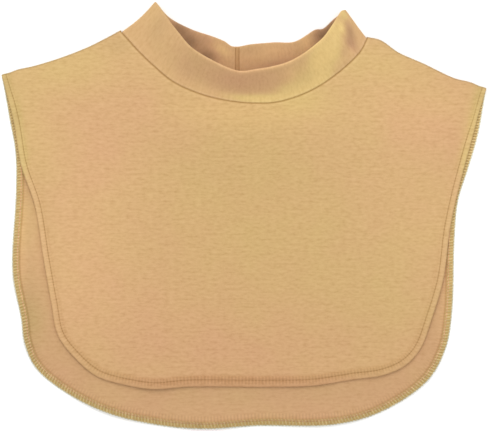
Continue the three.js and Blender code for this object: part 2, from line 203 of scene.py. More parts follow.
# Sections of the hem and of the overlocked border. inset: share of the distance from the rim to
# the stitching. layer: height of the middle of the cloth, in thicknesses. The front's jersey
# runs out to the rim, folds under and ends behind the topstitching.
Section = namedtuple("Section", "inset layer")
HEM_SECTION = [Section(*row) for row in (
    (2.0, 0.5), (1.75, 0.58), (1.55, 1.0), (1.4, 1.36), (1.2, 1.46), (1.08, 1.3), (1.0, 1.0),
    (0.92, 1.3), (0.78, 1.55), (0.5, 1.72), (0.25, 1.74), (0.08, 1.55), (0.0, 1.05), (0.07, 0.58),
    (0.3, 0.48), (0.85, 0.46), (1.4, 0.46),
)]
OVERLOCK_SECTION = [Section(*row) for row in (
    (1.6, 0.5), (1.25, 0.58), (1.08, 0.66), (1.0, 0.62), (0.9, 0.74), (0.6, 0.78), (0.3, 0.78),
    (0.06, 0.76),
)]

# Painted shade and painted highlights of the cloth across a border, by the inset as a share of the
# distance to the stitching: painted shadow in the stitching's groove and beside the rim, a painted
# highlight where the hem's roll faces the light, and painted shade all over along the bottom.
Tone = namedtuple("Tone", "inset tone")
HEM_PAINTED_SHADING = [Tone(*row) for row in (
    (0.0, 0.9), (0.2, 1.06), (0.6, 1.05), (0.84, 1.0), (0.96, 0.76), (1.06, 0.78), (1.2, 1.0),
    (2.0, 1.0),
)]
BOTTOM_HEM_PAINTED_SHADING = [Tone(*row) for row in (
    (0.0, 0.86), (0.2, 0.87), (0.35, 0.85), (0.68, 0.79), (0.96, 0.745), (1.06, 0.75), (1.3, 0.8),
    (1.48, 0.79), (1.65, 0.85), (2.0, 0.97),
)]
OVERLOCK_PAINTED_SHADING = [Tone(*row) for row in (
    (0.0, 0.86), (0.76, 0.9), (0.88, 0.74), (1.0, 0.8), (1.14, 0.98), (2.0, 1.0),
)]
BOTTOM_OVERLOCK_PAINTED_SHADING = [Tone(*row) for row in (
    (0.0, 0.78), (0.8, 0.84), (0.94, 0.88), (1.06, 0.93), (1.2, 0.97), (2.0, 1.0),
)]

Bib = namedtuple(
    "Bib",
    "seam rim width section rest settle creases zones border_gold columns rows section_rows"
    " dive roll waves",
)


def linear(hex_colour):
    """An sRGB hex value as linear red, green and blue."""
    values = [int(hex_colour[i : i + 2], 16) / 255 for i in (1, 3, 5)]
    return tuple(v / 12.92 if v <= 0.04045 else ((v + 0.055) / 1.055) ** 2.4 for v in values)


def a_length(name, description, default, **limits):
    """A property that holds a length."""
    return FloatProperty(
        name=name, description=description, default=default, subtype="DISTANCE", unit="LENGTH",
        **limits,
    )


def a_colour(name, description, hex_colour):
    """A property that holds a colour."""
    return FloatVectorProperty(
        name=name, description=description, default=linear(hex_colour), min=0, max=1, size=3,
        subtype="COLOR",
    )


class DickeyCloth(bpy.types.PropertyGroup):
    thickness: a_length(
        "Jersey thickness", "Thickness of one layer of jersey",
        0.92 * MM, min=0.3 * MM, max=2 * MM,
    )
    side_hem: a_length(
        "Side hem", "Distance from the rim to the topstitching at the shoulders", 4.2 * MM,
    )
    bottom_hem: a_length(
        "Bottom hem", "Distance from the rim to the topstitching along the bottom", 5.2 * MM,
    )
    overlock_width: a_length(
        "Overlock width", "Width of the overlocked border of the back bib", 6.3 * MM,
    )
    dash_length: a_length(
        "Dash length", "Length of the short level dashes in the face of the jersey", 4.5 * MM,
    )
    dash_height: a_length(
        "Dash height", "Height of the short level dashes, two rows of loops or more", 2.1 * MM,
    )


class DickeyStitches(bpy.types.PropertyGroup):
    side_pitch: a_length(
        "Stitch length at the sides",
        "Distance between two stitches where the edge isn't stretched", 2.4 * MM,
    )
    bottom_pitch: a_length(
        "Stitch length at the bottom", "Distance between two stitches where the edge is stretched",
        2.86 * MM,
    )
    thread_radius: a_length("Thread radius", "Radius of the sewing thread", 0.2 * MM)
    floss_radius: a_length(
        "Floss radius", "Radius of the soft floss that wraps the overlocked edge", 0.78 * MM,
    )
    seed: IntProperty(
        name="Seed",
        description="Seed of the small irregularities of the stitching",
        default=7,
    )


class DickeyColours(bpy.types.PropertyGroup):
    rosy: a_colour("Rosy camel", "The jersey where it takes the dye warmer", "#C29770")
    golden: a_colour("Golden camel", "The jersey where it takes the dye yellower", "#BFA36B")
    floss: a_colour("Overlock floss", "The olive yellow floss of the overlocked edge", "#C3AB78")
    edge_floss: a_colour(
        "Edge floss", "The greener floss that locks the overlocking along the rim", "#C8C6B0",
    )
    needle_thread: a_colour(
        "Needle thread", "The rosy thread that shows as a row of beads inside the overlocked edge",
        "#D8A980",
    )
    # Darker than the jersey: partly the thread's own colour, partly painted shadow of the groove it
    # sinks into.
    topstitch: a_colour("Topstitch thread", "The thread of the hem's topstitching", "#9A7644")
    table: a_colour("Table", "The plain pale surface that the dickey lies on", "#FDFDFC")


class SmoothCurve:
    """A centripetal Catmull-Rom curve through rows of numbers, read by time or by length."""

    STEPS = 2400

    def __init__(self, rows):
        p = np.array(rows, float)
        self.points = np.vstack([2 * p[0] - p[1], p, 2 * p[-1] - p[-2]])
        self.times = np.linspace(0, 1, self.STEPS + 1)
        steps = np.linalg.norm(np.diff(self.point(self.times), axis=0), axis=1)
        self.length = steps.sum()
        self.shares = np.concatenate([[0], np.cumsum(steps)]) / self.length

    def point(self, times):
        """The point at each time, where the rows are evenly spaced in time."""
        times = np.atleast_1d(times)
        spans = len(self.points) - 3
        place = np.clip(times, 0, 1) * spans
        row = np.minimum(place.astype(int), spans - 1)
        weight = (place - row)[:, None]
        a, b, c, d = (self.points[row + i] for i in range(4))
        before, within, after = (
            np.sqrt(np.linalg.norm(q - p, axis=1))[:, None] for p, q in ((a, b), (b, c), (c, d))
        )
        leave = ((b - a) / before - (c - a) / (before + within) + (c - b) / within) * within
        reach = ((c - b) / within - (d - b) / (within + after) + (d - c) / after) * within
        square = -3 * b + 3 * c - 2 * leave - reach
        cube = 2 * b - 2 * c + leave + reach
        return b + weight * (leave + weight * (square + weight * cube))

    def time_at(self, shares):
        """The time at each share of the curve's length."""
        return np.interp(shares, self.shares, self.times)

    def at(self, shares):
        """The point at each share of the curve's length."""
        return self.point(self.time_at(shares))

    def inward(self, shares):
        """The level direction to the left of the curve at each share of its length."""
        step = 0.5 / self.STEPS
        way = self.at(np.clip(shares + step, 0, 1)) - self.at(np.clip(shares - step, 0, 1))
        return unit(np.stack([-way[:, 1], way[:, 0]], 1))


def unit(vectors):
    """Vectors at length 1."""
    return vectors / np.linalg.norm(vectors, axis=-1, keepdims=True)


def fade_out(distance, reach):
    """Half a cosine wave: 1 at nought, 0 at reach and beyond."""
    return (1 + np.cos(np.pi * np.minimum(1, distance / reach))) / 2


def bell(distance):
    """A soft bump: 1 at nought, falling away over a distance of 1."""
    return np.exp(-distance * distance)


def at_bottom(along):
    """Nought at the shoulders, 1 along the bottom of a rim."""
    return np.sin(np.pi * along) ** 4


def edge_curve(rows, length):
    """The rim of a bib, with its ripples' lift as height."""
    return SmoothCurve(
        [
            (
                row.out * SHOULDER_SPAN / 2,
                NECK_LEVEL - SHOULDER_DROP - row.down * (length - SHOULDER_DROP),
                row.lift * EDGE_LIFT,
            )
            for row in rows
        ]
    )


def seam_and_lean(rows, neck_drop, middle):
    """The neck seam under one wall of the collar, and the lean from it to the top edge."""
    seam = SmoothCurve(
        [
            (
                row.across * NECK_SPAN / 2,
                NECK_LEVEL - row.drop * neck_drop,
                middle + row.lift * NECK_LIFT,
            )
            for row in rows
        ]
    )
    lean = SmoothCurve(
        [
            (row.lean_x * COLLAR_HEIGHT, row.lean_y * COLLAR_HEIGHT, row.rise * COLLAR_RISE)
            for row in rows
        ]
    )
    return seam, lean


FRONT_SEAM, FRONT_LEAN = seam_and_lean(FRONT_WALL, FRONT_NECK_DROP, FRONT_WALL_HEIGHT)
BACK_SEAM, BACK_LEAN = seam_and_lean(BACK_WALL, BACK_NECK_DROP, BACK_WALL_HEIGHT)
FRONT_RIM = edge_curve(FRONT_EDGE, FRONT_LENGTH)
BACK_RIM = edge_curve(BACK_EDGE, BACK_LENGTH)
SHOULDER_SAG = SmoothCurve([(row.along, row.left, row.right) for row in SHOULDERS])


TIP_WIDTH = 0.8  # width of the hem at the very tips, as a share of the full one
TIP_REACH = 0.03  # share of the rim over which it gets there
RIGHT_NARROWING = 0.3  # the hem was turned narrower just below the right tip
RIGHT_NARROW_REACH = 0.018


def front_hem_width(along):
    """Distance from the front's rim to its topstitching: narrow at the shoulder tips."""
    cloth = bpy.context.scene.dickey_cloth
    full = cloth.side_hem + (cloth.bottom_hem - cloth.side_hem) * at_bottom(along)
    tip = TIP_WIDTH + (1 - TIP_WIDTH) * np.minimum(1, np.minimum(along, 1 - along) / TIP_REACH)
    return full * tip * (1 - RIGHT_NARROWING * bell((1 - along - TIP_REACH) / RIGHT_NARROW_REACH))


def overlock_width(along):
    """Width of the back's overlocked border."""
    return np.full_like(along, bpy.context.scene.dickey_cloth.overlock_width)


def stitch_pitch(along):
    """Distance between two stitches: the bottom edges stretched as they were sewn."""
    stitches = bpy.context.scene.dickey_stitches
    return stitches.side_pitch + (stitches.bottom_pitch - stitches.side_pitch) * at_bottom(along)


RIM_STEPS = 4000


def stitch_count(rim, along):
    """How many stitches lie before each share of the rim."""
    shares = np.linspace(0, 1, RIM_STEPS + 1)
    steps = rim.length / RIM_STEPS / stitch_pitch((shares[1:] + shares[:-1]) / 2)
    return np.interp(along, shares, np.concatenate([[0], np.cumsum(steps)]))


SINK_START, SINK_END = 0.11, 0.79  # shares of the rim between which the front's edge sinks
SINK_RAMP = 0.06
SINK_DEPTH = 0.9 * MM


def settled(along):
    """How far the front's rim sinks on to the back bib, away from the overlocked sides."""
    rise = np.clip(np.minimum(along - SINK_START, SINK_END - along) / SINK_RAMP, 0, 1)
    return SINK_DEPTH * rise * rise * (3 - 2 * rise)


def creased(places, creases):
    """Height that soft creases add at each place."""
    height = np.zeros(places.shape[:-1])
    for crease in creases:
        start = np.array([crease.x0, crease.y0]) * MM
        run = np.array([crease.x1, crease.y1]) * MM - start
        share = np.clip((places - start) @ run / (run @ run), 0, 1)
        distance = np.linalg.norm(places - start - share[..., None] * run, axis=-1)
        height += crease.height * MM * bell(distance / (crease.half_width * MM))
    return height


def zoned(x, y, zones):
    """How golden the zones make each place, and how much painted light and shade they put on it."""
    tint_and_painted_light = np.zeros((*np.broadcast_shapes(x.shape, y.shape), 2))
    for zone in zones:
        strength = bell(np.hypot((x - zone.x) / zone.reach_x, (y - zone.y) / zone.reach_y))
        tint_and_painted_light += strength[..., None] * (zone.gold, zone.light)
    return tint_and_painted_light


def waves(places, height):
    """Shallow crossing waves, as cloth has that was smoothed out by hand."""
    total = np.zeros(places.shape[:-1])
    for i in range(5):
        angle = 0.7 + 1.9 * i
        across = places @ (math.cos(angle), math.sin(angle))
        length = 62 * MM * (1 + 0.37 * i)
        total += np.sin(2 * np.pi * across / length + 2.3 * i) / (1 + 0.3 * i)
    return height * total / 3


def puckered(run, inset):
    """Small drag lines across a hem, where its stitching pulls."""
    slant = run + 0.5 * inset
    small = np.sin(2 * np.pi * slant / (7.3 * MM))
    small = small + 0.7 * np.sin(2 * np.pi * slant / (11.9 * MM) + 1)
    slow = np.sin(2 * np.pi * run / (61 * MM)) * np.sin(2 * np.pi * run / (97 * MM) + 2)
    return small * (0.5 + 0.5 * slow)


def made_grid(name, places, uv, seams, tint_and_painted_light):
    """A sheet from a grid primitive, each of whose vertices is moved to its place.

    Each array holds one row of values for each column and row of the sheet."""
    columns, rows = places.shape[:2]
    bpy.ops.object.select_all(action="DESELECT")
    bpy.ops.mesh.primitive_grid_add(x_subdivisions=columns - 1, y_subdivisions=rows - 1, size=2)
    sheet = bpy.context.object
    sheet.name = sheet.data.name = name
    mesh = sheet.data
    flat = np.empty(len(mesh.vertices) * 3)
    mesh.vertices.foreach_get("co", flat)
    flat = flat.reshape(-1, 3)
    column = columns - 1 - np.rint((flat[:, 0] + 1) / 2 * (columns - 1)).astype(int)
    row = np.rint((flat[:, 1] + 1) / 2 * (rows - 1)).astype(int)
    mesh.vertices.foreach_set("co", places[column, row].ravel())
    corner = np.empty(len(mesh.loops), int)
    mesh.loops.foreach_get("vertex_index", corner)
    layer = mesh.uv_layers[0]
    layer.name = "cloth"
    layer.data.foreach_set("uv", uv[column[corner], row[corner]].ravel())
    for key, values in (("seams", seams), ("tint_and_painted_light", tint_and_painted_light)):
        attribute = mesh.attributes.new(key, "FLOAT_VECTOR", "POINT")
        attribute.data.foreach_set("vector", values[column, row].ravel())
    mesh.update()
    return sheet


def close_ring(sheet):
    """Joins the first and the last column of a sheet that goes all the way round."""
    bpy.context.view_layer.objects.active = sheet
    bpy.ops.object.mode_set(mode="EDIT")
    bpy.ops.mesh.select_all(action="SELECT")
    bpy.ops.mesh.remove_doubles(threshold=0.01 * MM)
    bpy.ops.object.mode_set(mode="OBJECT")


def give_thickness(sheet):
    """Turns a single layer into cloth with a thickness, and shades it smooth."""
    bpy.context.view_layer.objects.active = sheet
    solidify = sheet.modifiers.new("cloth", "SOLIDIFY")
    solidify.thickness = bpy.context.scene.dickey_cloth.thickness
    solidify.offset = 0
    solidify.use_even_offset = False
    solidify.use_quality_normals = True
    bpy.ops.object.modifier_apply(modifier=solidify.name)
    bpy.ops.object.shade_smooth_by_angle(angle=math.radians(50))


DIVE_STEPS = 4
ROLL_STEPS = 5
ROLL_SHADE = -0.2  # how much darker the cloth looks where it rolls down at the shoulders


def padded(values, rows_before, columns_around):
    """Repeats the first row and the end columns for the turned edges that are added."""
    values = np.concatenate([values[:, :1]] * rows_before + [values], 1)
    return np.concatenate([values[:1]] * columns_around + [values] + [values[-1:]] * columns_around)


def with_dive(places, depth):
    """Adds rows at the neck edge that turn down into the seam."""
    first = places[:, 0]
    way = unit(places[:, 1, :2] - first[:, :2])
    start = first.copy()
    start[:, :2] += way * depth
    near = np.linalg.norm(places[:, :, :2] - first[:, None, :2], axis=2) < depth * 1.1
    places = places.copy()
    for row in range(places.shape[1]):
        inside = near[:, row]
        places[inside, row, :2] = start[inside, :2] + way[inside] * 0.02 * MM * row
    turned = []
    for step in range(DIVE_STEPS, 0, -1):
        angle = np.pi / 2 * step / DIVE_STEPS
        point = start.copy()
        point[:, :2] -= way * depth * math.sin(angle)
        point[:, 2] -= depth * (1 - math.cos(angle))
        turned.append(point)
    return np.concatenate([np.stack(turned, 1), places], 1)


def with_rolls(places, radius):
    """Adds columns at both shoulders that roll down towards the other bib."""
    edges = []
    for end, side in ((0, 1), (-1, -1)):
        edge = places[end]
        way = np.gradient(edge[:, :2], axis=0)
        for _ in range(12):
            way[1:-1] = (way[:-2] + way[1:-1] + way[2:]) / 3
        out = unit(np.stack([way[:, 1], -way[:, 0]], 1) + (1e-12, 0)) * side
        columns = []
        for step in range(1, ROLL_STEPS + 1):
            angle = np.pi / 2 * step / ROLL_STEPS
            column = edge.copy()
            column[:, :2] += out * radius * math.sin(angle)
            column[:, 2] -= radius * (1 - math.cos(angle))
            columns.append(column)
        edges.append(columns)
    return np.concatenate([np.stack(edges[0][::-1]), places, np.stack(edges[1])])


ROW_CROWDING = 1.15  # power that sets the rows closer together towards the neck
WAVE_FADE = 25 * MM
CREASE_FADE = 6 * MM
PUCKER_HEIGHT = 0.1 * MM
PUCKER_REACH = 2.2  # as a share of the border


def bib_cloth(name, bib):
    """One bib: columns fan out from the neck seam to the rim, and on through its section."""
    thickness = bpy.context.scene.dickey_cloth.thickness
    along = np.linspace(0, 1, bib.columns)
    neck = bib.seam.at(along)
    edge = bib.rim.at(along)
    width = bib.width(along)[:, None]
    section = SmoothCurve([(point.inset, point.layer) for point in bib.section])
    inset_share, layer = section.point(np.linspace(0, 1, bib.section_rows)).T
    border = edge[:, None, :2] + bib.rim.inward(along)[:, None] * (inset_share * width)[..., None]
    joint = border[:, 0]
    reach = np.linalg.norm(joint - neck[:, :2], axis=1)[:, None]

    shares = (np.linspace(0, 1, bib.rows) ** ROW_CROWDING)[:-1]
    sag = SHOULDER_SAG.point(SHOULDER_SAG.times)
    left, right = (np.interp(shares, sag[:, 0], sag[:, side]) for side in (1, 2))
    near_left = (1 - along[:, None]) ** SAG_FALL
    near_right = along[:, None] ** SAG_FALL
    field = neck[:, None, :2] + shares[:, None] * (joint - neck[:, :2])[:, None]
    field[..., 1] -= (near_left * left + near_right * right) * reach

    level = np.concatenate([field, border], 1)
    inset = np.concatenate([(1 - shares) * reach + inset_share[0] * width, inset_share * width], 1)
    from_neck = np.concatenate([shares * reach, np.repeat(reach, bib.section_rows, 1)], 1)
    layers = np.concatenate([np.full(len(shares), layer[0]), layer])
    height = bib.rest + layers * thickness
    height = height + (neck[:, 2:] - thickness / 2 - bib.rest) * fade_out(from_neck, LIFT_REACH)
    height += edge[:, 2:] * fade_out(inset, RIPPLE_REACH)
    height -= bib.settle(along)[:, None] * fade_out(inset, 2 * RIPPLE_REACH)
    height += waves(level, bib.waves) * np.minimum(1, np.minimum(from_neck, inset) / WAVE_FADE)
    height += creased(level, bib.creases) * np.minimum(1, inset / CREASE_FADE)
    run = (along * bib.rim.length)[:, None]
    pull = np.clip(1 - inset / (PUCKER_REACH * width), 0, 1)
    height += PUCKER_HEIGHT * puckered(run, inset) * pull

    places = np.concatenate([level, height[..., None]], 2)
    zones = zoned(level[..., 0] / MM, level[..., 1] / MM, bib.zones)
    zones[..., 0] += bib.border_gold * np.clip((0.9 - inset / width) / 0.2, 0, 1)
    bottom = np.repeat(at_bottom(along)[:, None], inset.shape[1], 1)
    count = np.repeat(stitch_count(bib.rim, along)[:, None], inset.shape[1], 1)
    uv = np.stack([np.repeat(run, inset.shape[1], 1), inset], 2)
    seams = np.stack([count, inset / width, from_neck / MM], 2)
    tint_and_painted_light = np.concatenate([zones, bottom[..., None]], 2)

    places = with_dive(places, bib.dive)
    around = 0
    if bib.roll:
        places = with_rolls(places, bib.roll)
        around = ROLL_STEPS
    uv, seams, tint_and_painted_light = (padded(values, DIVE_STEPS, around) for values in (uv, seams, tint_and_painted_light))
    for rolled in (tint_and_painted_light[:around], tint_and_painted_light[len(tint_and_painted_light) - around :]):
        rolled[..., 1] += ROLL_SHADE
    sheet = made_grid(name, places, uv, seams, tint_and_painted_light)
    give_thickness(sheet)
    return sheet


KNEE = 0.3
KNEE_WIDTH = 0.09


def wall_rise(up):
    """Share of the rise at a share of the way up: the band lies out flat, then turns up."""

    def turned(x):
        return math.log1p(math.exp((x - KNEE) / KNEE_WIDTH))

    return (turned(up) - turned(0)) / (turned(1) - turned(0))


def wall_points(seam, lean, along, up):
    """Points on the middle of a wall: along from the left fold, up from the seam to the top."""
    times = seam.time_at(along)
    points = seam.point(times)
    tilt = lean.point(times)
    hollow = LEFT_FOLD_HOLLOW * math.sqrt(0.5) * math.sin(math.pi * up) * (1 - along) ** HOLLOW_FALL
    points[:, 0] += tilt[:, 0] * up + hollow
    points[:, 1] += tilt[:, 1] * up - hollow
    points[:, 2] += tilt[:, 2] * wall_rise(up)
    return points


def side_fold(start, stop, tip, steps):
    """The turn at one side of the collar, from a wall's end round its tip to the other wall."""
    middle = (start + stop) / 2
    out = (tip - middle) * (1, 1, 0)
    distance = np.linalg.norm(out)
    out *= max(distance - BAND_WALL / 2, FOLD_RADIUS) / distance
    angles = np.pi * np.arange(1, steps) / steps
    return middle + np.outer(np.cos(angles), start - middle) + np.outer(np.sin(angles), out)


FRONT_COLUMNS = 150
FOLD_STEPS = 12


def back_wall_shares():
    """Shares along the back wall, close together where the centre back seam is."""
    even = np.linspace(0, 1, 141)
    across = wall_points(BACK_SEAM, BACK_LEAN, even, 0.9)[:, 0]
    seam = np.interp(BACK_SEAM_X + np.linspace(-2.6, 2.6, 19) * MM, across, even)
    far = even[(even < seam[0] - 0.002) | (even > seam[-1] + 0.002)]
    return np.sort(np.concatenate([far, seam]))


def band_loop(up, front_shares, back_shares):
    """The middle of the collar's wall at one height, all the way round from the left fold."""
    inset = FOLD_RADIUS + BAND_WALL / 2
    spans = []
    for seam, lean, shares in (
        (FRONT_SEAM, FRONT_LEAN, front_shares),
        (BACK_SEAM, BACK_LEAN, back_shares),
    ):
        ends = wall_points(seam, lean, np.array([0, 0.5]), up)
        trim = inset / (2 * np.linalg.norm(ends[1] - ends[0]))
        spans.append(wall_points(seam, lean, trim + (1 - 2 * trim) * shares, up))
    front, back = spans[0], spans[1][::-1]
    left_tip, right_tip = wall_points(FRONT_SEAM, FRONT_LEAN, np.array([0.0, 1.0]), up)
    right = side_fold(front[-1], back[0], right_tip, FOLD_STEPS)
    left = side_fold(back[-1], front[0], left_tip, FOLD_STEPS)
    return np.concatenate([front, right, back, left])


FAR = 9.0  # a distance at which no mark of a seam shows
COLLAR_DIVE = 1.1 * MM  # how far the collar's cut edges turn down into the seam
LAYER_AIR = 0.04 * MM  # from the middle of the wall to each layer's inner face


def collar_cloth(name):
    """The collar: a strip folded double, whose two cut edges turn down into the neck seam."""
    thickness = bpy.context.scene.dickey_cloth.thickness
    start = SEAM_GAP / (COLLAR_HEIGHT * 0.62)
    ups = np.concatenate([np.linspace(start, 0.12, 7), np.linspace(0.16, 1, 24)])
    front_shares = np.linspace(0, 1, FRONT_COLUMNS)
    back_shares = back_wall_shares()
    loops = np.stack([band_loop(up, front_shares, back_shares) for up in ups], 1)
    rise = unit(np.gradient(loops, axis=1))
    normal = unit(np.cross(np.roll(loops, -1, 0) - np.roll(loops, 1, 0), rise))

    right, left = (np.full(FOLD_STEPS - 1, end) for end in (1.0, 2.0))
    share = np.concatenate([front_shares, right, 2 - back_shares[::-1], left])
    back = slice(FRONT_COLUMNS + FOLD_STEPS - 1, FRONT_COLUMNS + FOLD_STEPS - 1 + len(back_shares))
    from_back_seam = np.full(loops.shape[:2], FAR)
    from_back_seam[back] = (loops[back, :, 0] - BACK_SEAM_X) / MM
    bump = np.zeros(loops.shape[:2])
    for dent in COLLAR_DENTS:
        wide = bell((share - dent.along) / dent.reach_along)[:, None]
        tall = bell((ups - dent.up) / dent.reach_up) * np.minimum(1, ups / 0.12)
        bump += dent.height * MM * wide * tall
    mids = loops + normal * bump[..., None]

    gap = thickness / 2 + LAYER_AIR
    down = np.clip(1 - (ups - start) * COLLAR_HEIGHT / COLLAR_DIVE, 0, 1)
    drop = COLLAR_DIVE * (1 - np.sqrt(1 - down**2))
    ridge = 0.35 * bell(from_back_seam / 1.1) - 0.3 * bell((np.abs(from_back_seam) - 1.5) / 0.4)
    outer = mids + normal * (gap - drop)[:, None]
    inner = mids - normal * (gap + drop + ridge * MM)[..., None]
    crown = []
    for angle in np.linspace(0, np.pi, 8)[1:-1]:
        turn = normal[:, -1] * math.cos(angle) + rise[:, -1] * math.sin(angle)
        crown.append(mids[:, -1] + turn * gap)
    places = np.concatenate([outer, np.stack(crown, 1), inner[:, ::-1]], 1)
    height = np.concatenate([ups, np.full(len(crown), 1.0), 2 - ups[::-1]])

    middle = loops[:, len(ups) // 2]
    run = np.cumsum(np.linalg.norm(middle - np.roll(middle, 1, 0), axis=1))
    uv = np.stack(np.broadcast_arrays(run[:, None], height * COLLAR_HEIGHT), 2)
    unmarked = np.full((len(loops), len(ups) + len(crown)), FAR)
    inner_seam = np.concatenate([unmarked, from_back_seam[:, ::-1]], 1)
    from_neck = np.minimum(height, 2 - height) * COLLAR_HEIGHT / MM
    seams = np.stack(np.broadcast_arrays(inner_seam, 0.0, from_neck), 2)
    tint_and_painted_light = zoned(share[:, None], height[None], COLLAR_ZONES)
    tint_and_painted_light = np.concatenate([tint_and_painted_light, np.zeros((*tint_and_painted_light.shape[:2], 1))], 2)
    ring = [np.concatenate([values, values[:1]]) for values in (places, uv, seams, tint_and_painted_light)]
    sheet = made_grid(name, *ring)
    close_ring(sheet)
    give_thickness(sheet)
    return sheet


def thread_piece(path, radius):
    """One stitch: a line through the path's points, bevelled round and made a mesh."""
    bpy.ops.object.select_all(action="DESELECT")
    bpy.ops.curve.primitive_nurbs_path_add()
    stitch = bpy.context.object
    curve = stitch.data
    curve.splines.clear()
    spline = curve.splines.new("POLY")
    spline.points.add(len(path) - 1)
    for point, place in zip(spline.points, path):
        point.co = (*place, 1)
    curve.dimensions = "3D"
    curve.bevel_depth = radius
    curve.bevel_resolution = 1
    curve.use_fill_caps = True
    bpy.ops.object.convert(target="MESH")
    return bpy.context.object


def laid_copies(name, template, origins, axes, tones):
    """One mesh of many copies of a stitch, each with its own place, its own axes and its tone."""
    mesh = template.data
    points = np.empty(len(mesh.vertices) * 3)
    mesh.vertices.foreach_get("co", points)
    points = points.reshape(-1, 3)
    faces = [tuple(face.vertices) for face in mesh.polygons]
    laid = origins[:, None] + points @ axes
    count = len(points)
    every = [tuple(v + i * count for v in face) for i in range(len(origins)) for face in faces]
    joined = bpy.data.meshes.new(name)
    joined.from_pydata(laid.reshape(-1, 3).tolist(), [], every)
    joined.polygons.foreach_set("use_smooth", [True] * len(every))
    attribute = joined.attributes.new("tone", "FLOAT", "POINT")
    attribute.data.foreach_set("value", np.repeat(tones, count))
    joined.update()
    piece = bpy.data.objects.new(name, joined)
    bpy.context.scene.collection.objects.link(piece)
    bpy.data.objects.remove(template)
    return piece


def stitch_shares(rim):
    """Shares of a rim's length at the middle of each stitch."""
    shares = np.linspace(0, 1, RIM_STEPS + 1)
    count = stitch_count(rim, shares)
    return np.interp(np.arange(int(count[-1])) + 0.5, count, shares)


def rim_frames(rim, shares, inset, height):
    """Origins and axes along a rim: x along it, y inward, z up."""
    inward = np.concatenate([rim.inward(shares), np.zeros((len(shares), 1))], 1)
    up = np.zeros_like(inward)
    up[:, 2] = 1
    origins = rim.at(shares) + inward * np.reshape(inset, (-1, 1))
    origins[:, 2] = height
    axes = np.stack([np.cross(inward, up), inward, up], 1)
    axes[:, 0] *= (stitch_pitch(shares) / bpy.context.scene.dickey_stitches.side_pitch)[:, None]
    return origins, axes


def ride_as(piece, slot, *nodes):
    """Attaches a piece to the root body, so that it moves with it, and hides the solids it stands
    for. The slot, which names its finish, is not used.
    """
    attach(piece, "root")
    if nodes:
        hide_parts(*nodes)


def node(tree, kind, links=None, values=None, stops=None, output=None, **settings):
    """Adds a node with its settings, input values and colour stops, and links its inputs.

    The tone of a colour stop deepens camel as it darkens it. Gives the named output, or the
    first that is in use."""
    added = tree.nodes.new("ShaderNode" + kind)
    for name, value in settings.items():
        setattr(added, name, value)
    for key, value in (values or {}).items():
        added.inputs[key].default_value = value
    for key, socket in (links or {}).items():
        tree.links.new(socket, added.inputs[key])
    if stops:
        elements = added.color_ramp.elements
        while len(elements) < len(stops):
            elements.new(0.5)
        for element, (place, tone) in zip(elements, stops):
            element.position = place
            element.color = (tone, tone**1.25, tone**1.75, 1)
    if output:
        return added.outputs[output]
    return next(socket for socket in added.outputs if socket.enabled)


def new_material(name):
    """A material with its shader, and the tree to build on."""
    material = bpy.data.materials.new(name)
    material.use_nodes = True
    tree = material.node_tree
    return material, tree, tree.nodes["Principled BSDF"]


MULTIPLY = {"data_type": "RGBA", "blend_type": "MULTIPLY"}  # a mix that tones a colour
DRIFT_SPREAD = 0.65  # how far the dye drifts between the two camels
RAMP_SPAN = 2.0  # the widest inset on the tone ramps, as a share of the border
DYE_PATCH = 46 * MM  # size of the patches in which the dye drifts
FUZZ_GRAIN = 0.9 * MM
# Painted shade in the neck seam's groove, and a painted highlight just beyond it.
NECK_SHADE_REACH = 4.0  # millimetres from the neck seam over which the cloth darkens
BACK_SEAM_REACH = 3.0  # millimetres to either side of the centre back seam


